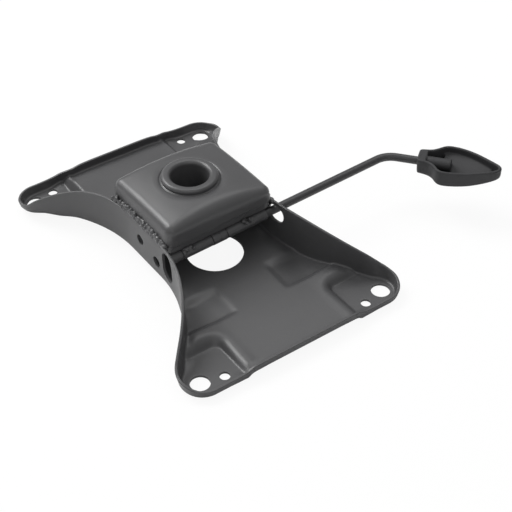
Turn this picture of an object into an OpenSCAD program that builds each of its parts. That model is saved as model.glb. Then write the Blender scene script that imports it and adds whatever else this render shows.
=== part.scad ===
// Chair seat plate with a welded column housing and a gas-lift release lever.
// X runs forward, Y runs towards the lever, Z runs up out of the column socket.
// The origin is the centre of the seat bolts on the face that meets the seat.

/* [Seat plate] */
// Overall length of the plate, over the front edge and the rear ears
plate_len = 264; // [258:1:276]
// Distance from the front bolt holes to the front edge
front_edge = 15.5; // [13.5:0.5:20]
// Distance from the rear bolt holes to the rear edge of the ears
rear_edge = 13.5; // [12:0.5:18]
// Distance that the rear edge is set forward between the ears
rear_set = 4.5; // [2:0.5:6]
// Overall width across the four ears
plate_w = 184; // [178:1:196]
// Sheet thickness of the plate
sheet = 2; // [1.5:0.1:2.6]
// Width of the waist, outside the two side walls
waist_w = 96; // [90:1:102]
// Height that the floor stands above the four pads
floor_rise = 7; // [5:0.5:9]
// Height of the front rim above the underside of the sheet
front_rim_h = 7; // [5:0.5:9]
// Height of the rear rim above the underside of the sheet
rear_rim_h = 7; // [5:0.5:9]
// Height of the side walls at the waist, above the seat face
wall_top = 40.7; // [38:0.1:43]
// Radius of the ears at the four corners
ear_r = 18; // [15:1:22]
// Angle at which the walls flare out to the front ears
front_flare = 45; // [42:1:47]
// Bend radius of the wall, in plan, where the front flare starts
front_flare_r = 104; // [94:1:110]
// Angle at which the walls flare out to the rear ears
rear_flare = 45; // [42:1:47]
// Bend radius of the wall, in plan, where the rear flare starts
rear_flare_r = 104; // [94:1:110]
// Distance from the centre to the points where the walls start to fall
wall_fall_x = 39; // [36:0.5:42]
// Radius of the fall of the walls, seen from the side
wall_fall_r = 90; // [84:1:100]
// Height of the rim along the outer sides of the ears
ear_rim_h = 10.3; // [9:0.1:12]

/* [Seat fixings] */
// Spacing of the large bolt holes, side to side
bolt_y = 155; // [150:1:160]
// Diameter of the large bolt holes
bolt_d = 14; // [10:0.5:16]
// Distance of the small screw holes outside the large ones, front to back
screw_out = 4; // [2:0.5:5]
// Spacing of the small screw holes, side to side
screw_y = 121; // [118:1:126]
// Diameter of the small screw holes
screw_d = 7.5; // [5:0.5:9]

/* [Pressed forms] */
// Distance from the centre to each pad's inner crease, front to back
pad_x = 94.5; // [92:0.5:99]
// Distance from the centre to each pad's inner crease, side to side
pad_y = 48.5; // [46:0.5:53]
// Corner radius of the crease round each pad
pad_r = 5; // [3:0.5:8]
// Horizontal run of the step between pad and floor
step_run = 5.5; // [4:0.5:7]
// Depth of the stiffening recess beside each wall
boss_depth = 2.5; // [1.5:0.25:3.5]
// Rear edge of the stiffening recesses
boss_x0 = 51; // [49:0.5:54]
// Front edge of the stiffening recesses
boss_x1 = 81; // [78:0.5:84]
// Inner edge of the stiffening recesses, from the centre line
boss_y0 = 22; // [20:0.5:26]
// Diameter of the clearance hole in the floor
floor_hole_d = 42.7; // [36:0.5:46]
// Distance of the floor hole in front of the origin
floor_hole_x = 20; // [17:0.5:23]

/* [Column housing] */
// Length of the drawn housing, front to back
box_len = 80; // [76:1:82]
// Thickness of the housing's metal
box_sheet = 2.8; // [2.4:0.1:3]
// Height of the housing's top above the seat face, at its middle
box_top = 60.3; // [58.5:0.1:62]
// Distance from the rod's axis to the housing's front face
box_ahead = 3; // [2.5:0.25:3.5]
// Radius of the crown across the housing's top
box_crown_r = 190; // [170:5:300]
// Radius of the housing's front top edge
box_edge_r = 9; // [6:0.5:11]
// Radius of the housing's rear top edge
box_rear_r = 6; // [5:0.5:9]
// Radius of the housing's side top edges
box_side_r = 5; // [4:0.5:7]
// Radius of the housing's upright corners
box_corner_r = 7; // [5:0.5:9]
// Height of the skirt's lower edge above the seat face
skirt_z = 33; // [31:0.5:34]

/* [Column socket] */
// Diameter of the taper's mouth, the size of the gas lift
socket_d = 28; // [25:0.5:30]
// Length of the socket below its seat
socket_len = 32; // [28:0.5:34]
// Half angle of the taper
taper = 1.4; // [0.8:0.1:2]
// Wall thickness of the socket at its mouth
socket_wall = 3; // [2.5:0.1:3.5]
// Width of the rolled lip
lip_w = 7.2; // [6:0.2:9]
// Height of the rolled lip above its seat
lip_h = 3.6; // [3.2:0.1:5]
// Distance of the socket behind the rod's axis
socket_back = 39.2; // [38:0.1:40]

/* [Release lever] */
// Diameter of the lever rod
rod_d = 6.4; // [5.6:0.1:6.8]
// Distance of the rod's axis in front of the origin
rod_x = 28.5; // [27.5:0.25:29.5]
// Height of the rod's axis above the seat face, at the centre line
rod_z = 30.5; // [29.5:0.25:31]
// Distance along the rod from the centre line to its bend
bend_y = 154.7; // [145:1:165]
// Turn of the rod towards the front
bend_turn = 52; // [40:1:60]
// Bend radius of the rod, on its axis
bend_r = 18; // [12:1:24]
// Slope of the whole rod, up towards its handle
rod_rise = 2; // [1:0.25:2.5]
// Length of the rod from its bend to the handle
leg_len = 25.2; // [22:0.5:36]
// Diameter of the bearing sleeves
sleeve_d = 8.6; // [8:0.1:9]
// Radial running clearance of the rod in its sleeves
run_gap = 0.05; // [0.02:0.01:0.1]
// Diameter of the curl of the release arm, and of its collar
curl_d = 9; // [8.5:0.1:9.4]
// Width of the release arm and of its collar, along the rod
arm_w = 6; // [5:0.5:7]
// Position along the rod where the release arm meets its collar
arm_y = -2.3; // [-4:0.1:0]
// Thickness of the release arm
arm_t = 2.5; // [2:0.1:3]

/* [Handle] */
// Length of the handle from its neck to its tip
handle_len = 63; // [58:1:70]
// Greatest width of the handle
handle_w = 38; // [34:1:42]
// Depth of the handle, from its rim to its back
handle_h = 13; // [12:0.5:15]
// Wall thickness of the handle
handle_wall = 2.4; // [2:0.1:3]
// Width of the handle's neck
neck_w = 15; // [14:0.5:18]
// Diameter of the tube inside that grips the rod
grip_d = 9.6; // [9:0.1:11]
// Depth to which the rod goes into the handle
grip_depth = 24; // [20:1:28]

/* [Hidden] */
$fn = 96;
coat = "#3c3c3e";
dark_coat = "#2e2e30";
plastic = "#343436";
bare_weld = "#4a4a4c";
far = 400;
eps = 0.01;
touch = 0.03;

bolt_x = plate_len - front_edge - rear_edge;
front_len = bolt_x / 2 + front_edge;
rear_len = bolt_x / 2 + rear_edge;
screw_x = bolt_x + 2 * screw_out;
half_w = plate_w / 2;
waist = waist_w / 2;
floor_top = floor_rise + sheet;
ear_y = half_w - ear_r;
step_shift = sheet * tan(atan2(floor_rise, step_run) / 2);

wall_holes = [[-5, 26.6, 8.4], [16.6, 20.6, 8.6]];
left_slot_x = rod_x + 3.6;
left_slot_low = 9.3;
left_slot_high = 0.5;
left_slot_z = [rod_z - left_slot_low, rod_z - left_slot_high];
left_slot_w = 15.4;
rod_slot_x = [rod_x + 2.2, rod_x + 4.5];
rod_slot_z = rod_z + 0.5;
rod_slot_w = 14;

box_front = rod_x + box_ahead;
box_back = box_front - box_len;
box_half_w = waist - sheet;
edge_up = curl_d / 2 + 0.5;
joggle_h = 5.5;
joggle_up = edge_up + joggle_h;
joggle = 1.3;
seat_depth = 1.9;
seat_z = box_top - seat_depth;
socket_x = rod_x - socket_back;
mouth_r = socket_d / 2;
mouth_land = 6;
socket_out_r = mouth_r + socket_wall;
socket_low = seat_z - socket_len;
lip_r = mouth_r + lip_w;
seat_gap = 0.9;
hole_gap = 0.2;
fit_gap = 0.02;

rod_r = rod_d / 2;
wall_gap = 0.6;
collar_len = 8.5;
collar_y = -(box_half_w - box_sheet - wall_gap);
side_gap = 0.4;
sleeve_left = [collar_y + collar_len + side_gap, arm_y - arm_w - side_gap];
sleeve_right = [arm_y + arm_w + side_gap, 39];
tack_left_in = 6;
tack_right_in = 18;
tack_y = [sleeve_left[0] + tack_left_in, sleeve_right[0] + tack_right_in];
bend_cut = bend_r * tan(bend_turn / 2);
bend_thin = 0.02;
tail_x = socket_x - rod_x;
arm_gap = 0.8;
arm_knee = [socket_out_r - socket_back + 1.5, socket_low - arm_gap - rod_z];
tail_top = arm_knee[1] - 1.7;
tack_r = 2.3;
bead_r = 2.6;
bead_pitch = 4.2;
bead_start = box_back + box_corner_r - 2;
bead_end = box_front - box_corner_r;
rear_knee = rear_len - ear_r
  - (cos(rear_flare) * (ear_y - waist) + ear_r) / sin(rear_flare);
rear_arc_x = rear_knee - rear_flare_r * tan(rear_flare / 2);

rim_z = handle_h * 0.46;
side_arc_r = 80;
side_arc_u = 18;
neck_arc_r = 14.4;
block_len = 7;

// Repeats its children in the four quarters of the plate
module four_corners() {
  for (sx = [0, 1], sy = [0, 1])
    mirror([sx, 0, 0]) mirror([0, sy, 0]) children();
}

// Distance from the housing's side out to the wall's inner face, at the point x
function wall_spread(x) =
  let (run = max(0, -x - rear_arc_x), r = rear_flare_r + sheet) r - sqrt(r * r - run * run);

// One quarter of the plate's outline, drawn for x > 0 and y > 0, inset by d
module outline_quarter(d, len, set, flare, flare_r) {
  r = ear_r - d;
  w = waist - d;
  ear_x = len - ear_r;
  out = [-sin(flare), cos(flare)];
  line_c = out * [ear_x, ear_y] + r;
  knee = [(cos(flare) * w - line_c) / sin(flare), w];
  cut = (flare_r + d) * tan(flare / 2);
  arc_end = knee + cut * [cos(flare), sin(flare)];
  ear_end = [ear_x, ear_y] + r * out;
  difference() {
    union() {
      polygon([
        [0, 0], [len - set - d, 0], [len - set - d, pad_y - 2 * step_run],
        [len - d, pad_y + step_run / 2],
        [len - d, ear_y], [ear_x, ear_y], ear_end, arc_end, knee - [cut, 0], [0, w]
      ]);
      translate([ear_x, ear_y]) circle(r = r + touch);
    }
    translate(knee + [-cut, flare_r + d]) circle(r = flare_r + d - touch);
  }
}

// The plate's outline inset by d
module outline(d) {
  for (sy = [0, 1]) mirror([0, sy]) {
    outline_quarter(d, front_len, 0, front_flare, front_flare_r);
    mirror([1, 0]) outline_quarter(d, rear_len, rear_set, rear_flare, rear_flare_r);
  }
}

// The sunk corner of one pad, from its level z0 upwards, with sloped and rounded sides
module pad_pocket(z0, shift) {
  x = pad_x + shift + pad_r;
  y = pad_y + shift + pad_r;
  tall = floor_rise + 1;
  run = step_run * tall / floor_rise;
  side = [[0, 0], [far, 0], [far, tall], [-pad_r - run, tall], [-pad_r, 0]];
  translate([x, far, z0]) rotate([90, 0, 0]) linear_extrude(far - y) polygon(side);
  translate([x, y, z0]) rotate([90, 0, 90]) linear_extrude(far) polygon(side);
  translate([x, y, z0]) cylinder(r1 = pad_r, r2 = pad_r + run, h = tall);
}

// Everything below a surface that lies at z0 on the pads and floor_rise higher between them
module stepped(z0, shift) {
  difference() {
    translate([-far, -far, -1]) cube([2 * far, 2 * far, z0 + floor_rise + 1]);
    four_corners() pad_pocket(z0, shift);
  }
}

// The two recesses beside the walls, cut down from the level z by the recess depth
module recesses(z, shift) {
  x0 = boss_x0 + shift;
  x1 = boss_x1 - shift;
  y0 = boss_y0 + shift;
  rear_run = 7;
  front_run = 3;
  side_run = 5;
  for (sy = [0, 1]) mirror([0, sy, 0]) intersection() {
    translate([0, far, z - boss_depth]) rotate([90, 0, 0]) linear_extrude(far)
      polygon([[x0 + rear_run, 0], [x1 - front_run, 0], [x1, boss_depth], [x0, boss_depth]]);
    translate([0, 0, z - boss_depth]) rotate([90, 0, 90]) linear_extrude(far)
      polygon([[y0 + side_run, 0], [far, 0], [far, boss_depth], [y0, boss_depth]]);
  }
}

// Side view of one half of the wall: level at the waist, then falling in an arc to the
// rim of the ear
module wall_half(len, rim_h) {
  ear = len - ear_r;
  square([wall_fall_x, wall_top]);
  intersection() {
    translate([wall_fall_x, wall_top - wall_fall_r]) circle(r = wall_fall_r);
    translate([wall_fall_x - 1, 0]) square([ear - wall_fall_x, wall_top]);
  }
  polygon([
    [wall_fall_x, 0], [wall_fall_x, 2 * ear_rim_h], [ear - ear_r * 0.55, ear_rim_h + 2.6],
    [ear - ear_r * 0.28, ear_rim_h + 0.5], [ear + ear_r / 4, ear_rim_h - 0.7],
    [len - 3, rim_h], [len - 3, 0]
  ]);
}

// Everything below the top edge of the walls and rims
module rim_limit() {
  intersection() {
    stepped(front_rim_h, 0);
    translate([0, -far, -1]) cube([far, 2 * far, far]);
  }
  intersection() {
    stepped(rear_rim_h, 0);
    translate([-far, -far, -1]) cube([far, 2 * far, far]);
  }
  for (sy = [0, 1]) mirror([0, sy, 0])
    translate([0, far, 0]) rotate([90, 0, 0]) linear_extrude(far - waist + 2 * sheet) {
      wall_half(front_len, front_rim_h);
      mirror([1, 0]) wall_half(rear_len, rear_rim_h);
    }
}

// Round cut through the wall on one side, at x and z
module wall_cut(side, x, z, d) {
  translate([x, 0, z]) rotate([-90 * side, 0, 0]) cylinder(d = d, h = half_w);
}

// Round holes through both side walls, an upright slot in the left wall at the rod's end,
// and a level slot in the right wall that the rod passes
module wall_cuts() {
  for (h = wall_holes, side = [-1, 1]) wall_cut(side, h[0], h[1], h[2]);
  for (z = left_slot_z) wall_cut(-1, left_slot_x, z, left_slot_w);
  translate([left_slot_x - left_slot_w / 2, -half_w, left_slot_z[0]])
    cube([left_slot_w, half_w, left_slot_z[1] - left_slot_z[0]]);
  for (x = rod_slot_x) wall_cut(1, x, rod_slot_z, rod_slot_w);
  translate([rod_slot_x[0], 0, rod_slot_z - rod_slot_w / 2])
    cube([rod_slot_x[1] - rod_slot_x[0], half_w, rod_slot_w]);
}

// Pressed hourglass plate: four pads, raised floor, rims and high side walls
module seat_plate() {
  color(coat) difference() {
    intersection() {
      linear_extrude(wall_top + 1) outline(0);
      rim_limit();
    }
    difference() {
      stepped(0, 0);
      recesses(floor_rise, 0);
    }
    difference() {
      translate([0, 0, -1]) linear_extrude(wall_top + 3) outline(sheet);
      difference() {
        stepped(sheet, step_shift);
        recesses(floor_top, step_shift);
      }
    }
    four_corners() {
      translate([bolt_x / 2, bolt_y / 2, -1]) cylinder(d = bolt_d, h = sheet + 2);
      translate([screw_x / 2, screw_y / 2, -1]) cylinder(d = screw_d, h = sheet + 2);
    }
    translate([floor_hole_x, 0, 0]) cylinder(d = floor_hole_d, h = floor_top + 1);
    wall_cuts();
  }
}

// Solid form of the drawn housing, inset by d, with rounded edges and corners
module housing_form(d) {
  x0 = box_back + d;
  x1 = box_front - d;
  w = box_half_w - d;
  top = box_top - d;
  cr = box_corner_r - d;
  er = box_edge_r - d;
  rr = box_rear_r - d;
  sr = box_side_r - d;
  cap = box_crown_r - d;
  side = top - cap + sr + sqrt(pow(cap - sr, 2) - pow(w - sr, 2));
  intersection() {
    linear_extrude(top) {
      translate([x0 + cr, -w]) square([x1 - x0 - 2 * cr, 2 * w]);
      translate([x0, cr - w]) square([x1 - x0, 2 * (w - cr)]);
      for (x = [x0 + cr, x1 - cr], y = [cr - w, w - cr]) translate([x, y]) circle(r = cr);
    }
    translate([0, w, 0]) rotate([90, 0, 0]) linear_extrude(2 * w) {
      translate([x0, 0]) square([x1 - x0, top - er]);
      translate([x0 + rr, 0]) square([x1 - x0 - rr - er, top]);
      translate([x0, 0]) square([box_len / 2, top - rr]);
      translate([x0 + rr, top - rr]) circle(r = rr);
      translate([x1 - er, top - er]) circle(r = er);
    }
    translate([x0, 0, 0]) rotate([90, 0, 90]) linear_extrude(x1 - x0) {
      translate([-w, 0]) square([2 * w, side - sr]);
      intersection() {
        translate([sr - w, 0]) square([2 * (w - sr), top]);
        translate([0, top - cap]) circle(r = cap, $fn = 360);
      }
      for (y = [sr - w, w - sr]) translate([y, side - sr]) circle(r = sr);
    }
  }
}

// Frame of the lever, with Y along the rod's axis
module rod_frame() {
  translate([rod_x, 0, rod_z]) rotate([rod_rise, 0, 0]) children();
}

// Cut in front of x and below z, both from the rod's axis
module over_rod(x, z) {
  rod_frame() translate([x, -far, -far]) cube([far, 2 * far, far + z]);
}

// Drawn steel cap that carries the socket, open below, and thinned and cut back over the rod
module column_housing() {
  color(coat) difference() {
    housing_form(0);
    housing_form(box_sheet);
    translate([-far, -far, -1]) cube([2 * far, 2 * far, skirt_z + 1]);
    over_rod(box_ahead - box_corner_r - box_sheet, edge_up);
    over_rod(box_ahead - joggle, joggle_up);
    translate([socket_x, 0, seat_z]) cylinder(r = lip_r + seat_gap, h = far);
    translate([socket_x, 0, 0]) cylinder(r = socket_out_r + hole_gap, h = far);
  }
}

// Tapered socket with a rolled lip, and a short straight land at its mouth
module taper_socket() {
  low_r = mouth_r - (socket_len - mouth_land) * tan(taper);
  inner_roll = min(lip_w * 0.5, lip_h - 0.5);
  outer_roll = min(lip_w * 0.36, lip_h - 1);
  lip_top = seat_z + lip_h;
  color(dark_coat) translate([socket_x, 0, 0]) rotate_extrude($fn = 128) {
    polygon([
      [low_r, socket_low], [socket_out_r, socket_low], [socket_out_r, seat_z + eps],
      [mouth_r, seat_z + eps], [mouth_r, seat_z - mouth_land]
    ]);
    translate([mouth_r, seat_z]) square([lip_w, lip_h - inner_roll]);
    translate([mouth_r + inner_roll, seat_z])
      square([lip_w - inner_roll - outer_roll, lip_h]);
    translate([mouth_r + inner_roll, seat_z])
      square([lip_w - inner_roll, lip_h - outer_roll]);
    intersection() {
      translate([mouth_r, seat_z]) square([lip_w, lip_h]);
      union() {
        translate([mouth_r + inner_roll, lip_top - inner_roll]) circle(r = inner_roll);
        translate([lip_r - outer_roll, lip_top - outer_roll]) circle(r = outer_roll);
      }
    }
  }
}

// Ring of weld under the housing's top, round the socket
module socket_weld() {
  leg = 3;
  under = box_top - box_sheet;
  inner = socket_out_r + hole_gap;
  color(bare_weld) intersection() {
    translate([socket_x, 0, 0]) rotate_extrude($fn = 128)
      polygon([[inner, under], [inner + leg, under], [inner + leg, under - 1],
        [inner, under - leg - 1]]);
    housing_form(box_sheet);
  }
}

// Lumpy bead along one wall's top edge, in the corner with the housing's side
module housing_weld(side) {
  count = floor((bead_end - bead_start) / bead_pitch);
  color(bare_weld) mirror([0, side, 0]) intersection() {
    translate([bead_start - far, box_half_w, wall_top]) cube([2 * far, far, far]);
    union() {
      for (i = [0 : count])
        let (x = bead_start + i * bead_pitch, gap = wall_spread(x))
          translate([x, box_half_w + gap / 2, wall_top])
            sphere(r = bead_r + gap / 2 + 0.4 * sin(i * 131), $fn = 32);
      translate([bead_start, box_half_w, wall_top]) rotate([0, 90, 0])
        cylinder(r = bead_r - 0.8, h = count * bead_pitch, $fn = 32);
    }
  }
}

module housing_weld_left() {
  housing_weld(1);
}

module housing_weld_right() {
  housing_weld(0);
}

// Tube along the rod's axis from y0 to y1
module rod_tube(y0, y1, outer_d, bore_r) {
  rod_frame() translate([0, y0, 0]) rotate([-90, 0, 0]) difference() {
    cylinder(d = outer_d, h = y1 - y0);
    translate([0, 0, -1]) cylinder(r = bore_r, h = y1 - y0 + 2);
  }
}

module bearing_sleeve_left() {
  color(dark_coat) rod_tube(sleeve_left[0], sleeve_left[1], sleeve_d, rod_r + run_gap);
}

module bearing_sleeve_right() {
  color(dark_coat) rod_tube(sleeve_right[0], sleeve_right[1], sleeve_d, rod_r + run_gap);
}

// Two blobs of weld that hang a sleeve from the housing's front edge
module sleeve_tack(y) {
  color(bare_weld) difference() {
    for (dy = [-2, 1.8])
      rod_frame() translate([box_ahead - box_sheet / 2, y + dy, sleeve_d / 2])
        sphere(r = tack_r, $fn = 48);
    rod_tube(y - far, y + far, sleeve_d, rod_r / 2);
    rod_frame() translate([box_ahead - box_sheet, -far, edge_up])
      cube([box_sheet, 2 * far, far]);
  }
}

module sleeve_tack_left() {
  sleeve_tack(tack_y[0]);
}

module sleeve_tack_right() {
  sleeve_tack(tack_y[1]);
}

// Frame of the leg past the bend, with X along the leg and its start at the bend's end
module lever_leg() {
  rod_frame()
    translate([bend_r * (1 - cos(bend_turn)), bend_y - bend_cut + bend_r * sin(bend_turn), 0])
      rotate([0, 0, 90 - bend_turn]) children();
}

// Bent length of rod about Z, a hair thinner than the straight lengths and let into both
module rod_bend(r, turn) {
  lap = 0.5 / r * 180 / PI;
  rotate([0, 0, -lap]) rotate_extrude(angle = turn + 2 * lap)
    translate([r, 0]) circle(r = rod_r - bend_thin);
}

// Lever rod: straight through the sleeves, then bent towards the front outside the wall
module lever_rod() {
  color(dark_coat) {
    rod_frame() {
      translate([0, collar_y, 0]) rotate([-90, 0, 0])
        cylinder(r = rod_r, h = bend_y - bend_cut - collar_y);
      translate([bend_r, bend_y - bend_cut, 0]) rotate([0, 0, 180 - bend_turn])
        rod_bend(bend_r, bend_turn);
    }
    lever_leg() rotate([0, 90, 0])
      cylinder(r = rod_r, h = leg_len - bend_cut + grip_depth);
  }
}

// Collar pressed on the rod's inner end, beside the left sleeve
module end_collar() {
  color(dark_coat)
    rod_tube(collar_y, collar_y + collar_len, sleeve_d - 0.6, rod_r + fit_gap);
}

// Strip curled round the rod, with a tail that reaches under the socket to the valve
module release_arm() {
  top = curl_d / 2;
  color(coat) {
    rod_tube(arm_y - arm_w, arm_y, curl_d, rod_r + fit_gap);
    rod_frame() translate([0, arm_y, 0]) difference() {
      union() {
        rotate([90, 0, 0]) linear_extrude(arm_w)
          polygon([
            [0, top], arm_knee, [tail_x, tail_top], [tail_x, tail_top - arm_t],
            arm_knee - [0, arm_t], [0, top - arm_t]
          ]);
        translate([tail_x, -arm_w / 2, tail_top - arm_t]) cylinder(d = arm_w, h = arm_t);
      }
      rotate([90, 0, 0]) translate([0, 0, -1]) cylinder(r = rod_r + fit_gap, h = arm_w + 2);
    }
  }
}

// Plain collar that keeps the arm against its sleeve
module arm_collar() {
  color(dark_coat) rod_tube(arm_y + fit_gap, arm_y + arm_w, curl_d, rod_r + fit_gap);
}

// Plan of the handle with U along X from its neck, inset by d
module handle_plan(d) {
  r = side_arc_r;
  off = r - handle_w / 2;
  reach = handle_len - side_arc_u;
  tip_r = (r * r - reach * reach - off * off) / (2 * (r - reach));
  tip_u = handle_len - tip_r;
  join_u = tip_u + (tip_r - d) * (tip_u - side_arc_u) / (r - tip_r);
  difference() {
    union() {
      intersection() {
        translate([side_arc_u, off]) circle(r = r - d, $fn = 256);
        translate([side_arc_u, -off]) circle(r = r - d, $fn = 256);
        translate([d, -handle_w]) square([join_u - d, 2 * handle_w]);
      }
      translate([tip_u, 0]) circle(r = tip_r - d + touch);
    }
    for (s = [-1, 1])
      translate([2.4, s * (neck_w / 2 + neck_arc_r)]) circle(r = neck_arc_r + d);
  }
}

// Hollow paddle, open at its rim, with a tube inside that grips the rod
module lever_handle() {
  belly_r = 210;
  color(plastic) lever_leg() translate([leg_len - bend_cut, 0, 0]) difference() {
    union() {
      difference() {
        intersection() {
          translate([0, 0, rim_z - handle_h]) linear_extrude(handle_h) handle_plan(0);
          translate([side_arc_u, far / 2, rim_z - handle_h + belly_r]) rotate([90, 0, 0])
            cylinder(r = belly_r, h = far, $fn = 256);
        }
        intersection() {
          translate([0, 0, rim_z - handle_h]) linear_extrude(handle_h + 1) intersection() {
            handle_plan(handle_wall);
            translate([block_len, -handle_w]) square([handle_len, 2 * handle_w]);
          }
          translate([side_arc_u, far / 2, rim_z - handle_h + belly_r]) rotate([90, 0, 0])
            cylinder(r = belly_r - handle_wall, h = far, $fn = 256);
        }
      }
      translate([block_len - 1, 0, 0]) rotate([0, 90, 0])
        cylinder(d = grip_d, h = grip_depth - block_len + 3);
    }
    translate([-1, 0, 0]) rotate([0, 90, 0]) cylinder(r = rod_r + fit_gap, h = grip_depth + 1);
  }
}

seat_plate();
column_housing();
taper_socket();
socket_weld();
housing_weld_left();
housing_weld_right();
bearing_sleeve_left();
bearing_sleeve_right();
sleeve_tack_left();
sleeve_tack_right();
lever_rod();
end_collar();
release_arm();
arm_collar();
lever_handle();
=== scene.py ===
"""Chair seat mechanism: pressed plate, drawn housing, gas-lift socket and release lever.

Lengths in the code are millimetres in the part's frame: X runs forward, Y towards the lever
and Z up out of the socket. A pair such as (start, run) feeds ease_in, and (end, run) ease_out.
"""

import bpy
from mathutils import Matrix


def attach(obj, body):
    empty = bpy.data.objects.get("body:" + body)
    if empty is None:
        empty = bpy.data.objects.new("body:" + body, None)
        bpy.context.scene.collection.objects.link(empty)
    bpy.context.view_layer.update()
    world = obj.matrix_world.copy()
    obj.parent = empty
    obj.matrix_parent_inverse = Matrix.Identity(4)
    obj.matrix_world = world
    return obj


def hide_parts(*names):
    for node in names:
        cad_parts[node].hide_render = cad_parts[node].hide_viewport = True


bl_info = {
    "name": "Chair Seat Mechanism",
    "version": (1, 0, 0),
    "blender": (4, 5, 0),
    "location": "3D View > Sidebar > Seat Mechanism",
    "description": "Dresses the seat plate, its welded housing and its release lever",
    "category": "Object",
}

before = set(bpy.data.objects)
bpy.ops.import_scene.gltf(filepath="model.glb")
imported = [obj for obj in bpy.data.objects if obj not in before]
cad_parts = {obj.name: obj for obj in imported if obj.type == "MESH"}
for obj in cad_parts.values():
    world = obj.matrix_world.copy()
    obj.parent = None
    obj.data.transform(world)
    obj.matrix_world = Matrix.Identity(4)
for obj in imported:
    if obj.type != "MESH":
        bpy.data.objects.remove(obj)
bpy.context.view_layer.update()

import math

import bmesh
import bpy
import numpy as np
from bpy.props import FloatProperty, FloatVectorProperty, IntProperty, PointerProperty
from bpy.types import Operator, Panel, PropertyGroup
from mathutils import Vector
from mathutils.geometry import delaunay_2d_cdt

MM = 0.001
SOCKET_AT = (-10.7, 0.0)
ROD_RISE, ROD_TURN = 2.0, 52.0  # degrees
ROD_SLOPE = math.tan(math.radians(ROD_RISE))


# Settings


def length(name, default_mm, words):
    """A length property, given in millimetres."""
    return FloatProperty(
        name=name, description=words, default=default_mm * MM, unit="LENGTH", precision=5
    )


def angle(name, default_deg, words):
    """An angle property, given in degrees."""
    return FloatProperty(
        name=name, description=words, default=math.radians(default_deg), subtype="ANGLE"
    )


def colour(name, rgb, words):
    """A colour property."""
    return FloatVectorProperty(
        name=name, description=words, default=rgb, subtype="COLOR", min=0.0, max=1.0
    )


def group_of(name, kind, words):
    """A property that holds a group of settings."""
    return PointerProperty(name=name, description=words, type=kind)


class PlateSizes(PropertyGroup):
    """Sizes of the pressed plate"""

    front_len: length("Front length", 133.0, "Centre to the front edge")
    rear_len: length("Rear length", 131.0, "Centre to the rear edge of the ears")
    rear_set: length("Rear set-in", 4.5, "Rear edge set forward between the ears")
    width: length("Width", 184.0, "Width across the ears")
    waist: length("Waist", 96.0, "Width outside the side walls")
    sheet: length("Sheet", 2.0, "Thickness of the sheet")
    ear_r: length("Ear radius", 18.0, "Radius of the four ears")
    front_flare_r: length("Front flare radius", 104.0, "Plan radius where the front flare starts")
    rear_flare_r: length("Rear flare radius", 104.0, "Plan radius where the rear flare starts")
    rise: length("Floor rise", 7.0, "Floor above the pads")
    pad_x: length("Pad crease X", 94.5, "Centre to the pads' inner crease, lengthwise")
    pad_y: length("Pad crease Y", 48.5, "Centre to the pads' inner crease, crosswise")
    pad_r: length("Pad corner", 5.0, "Radius of the pads' inner corner")
    foot: length("Step foot", 0.9, "Half the run of the fillet at the foot of the step")
    front_roll: length("Front roll", 9.0, "Radius of the step's top at the front pads")
    rear_roll: length("Rear roll", 1.5, "Radius of the step's top at the rear pads")
    recess: length("Recess", 2.7, "Depth of the two recesses ahead of the housing")
    flank_ramp: length("Flank ramp", 3.2, "Rise of the rear pads where they meet the flanks")
    edge_ease: length("Edge ease", 6.5, "How far the steps are spread along the rims")
    front_fall: length("Front fall", 3.8, "How far the floor falls towards the front rim")
    front_rim: length("Front rim", 7.0, "Height of the front rim")
    rear_rim: length("Rear rim", 8.4, "Height of the rear rim")
    wall_top: length("Wall top", 40.7, "Height of the side walls at the waist")
    fall_x: length("Fall start", 39.0, "Centre to the points where the walls start to fall")
    fall_r: length("Fall radius", 90.0, "Radius of the fall of the walls")
    ear_rim: length("Ear rim", 10.3, "Height of the rim along the outer sides of the ears")
    bend: length("Wall bend", 3.6, "Outer bend radius between floor and wall")
    ear_bend: length("Ear bend", 4.0, "Outer bend radius round the ears")
    ear_roll: length("Ear roll", 5.5, "Extra bend radius along the sides of the rear ears")
    lean: angle("Lean", 1.2, "Outward lean of the walls")
    rim_lean: angle("Rim lean", 12.0, "Outward lean of the ears")
    step_slope: angle("Step slope", 56.0, "Angle of the step between pad and floor")
    front_flare: angle("Front flare", 45.0, "Angle of the front flanks")
    rear_flare: angle("Rear flare", 45.0, "Angle of the rear flanks")


class HousingSizes(PropertyGroup):
    """Sizes of the drawn housing"""

    front: length("Front face", 31.5, "Front face ahead of the origin")
    back: length("Rear face", -48.5, "Rear face")
    half_w: length("Half width", 46.0, "Half of the housing's width")
    top: length("Top", 60.3, "Height of the crown")
    sheet: length("Metal", 2.8, "Thickness of the housing's metal")
    skirt: length("Skirt", 33.0, "Lower edge of the skirt")
    front_skirt: length("Front skirt", 35.5, "Lower edge of the front face, at its middle")
    joggle: length("Joggle", 2.2, "How far the front's lower edge is set back over the rod")
    corner: length("Corner radius", 8.0, "Radius of the upright corners")
    front_bend: length("Front bend", 11.0, "Radius of the front top edge at its middle")
    rear_bend: length("Rear bend", 8.0, "Radius of the rear top edge at its middle")
    side_bend: length("Side bend", 6.5, "Radius of the top edges at the sides and corners")
    crown: length("Crown", 190.0, "Radius of the crown across the top")
    length_crown: length("Length crown", 600.0, "Radius of the crown along the top")
    seat: length("Seat", 58.38, "Level of the dish that the socket's lip sits in")
    groove: length("Groove", 0.7, "Depth of the groove round the socket's lip")
    groove_r: length("Groove radius", 22.2, "Radius of the groove round the socket's lip")
    lean: angle("Lean", 6.0, "Outward lean of the sides")


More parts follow.
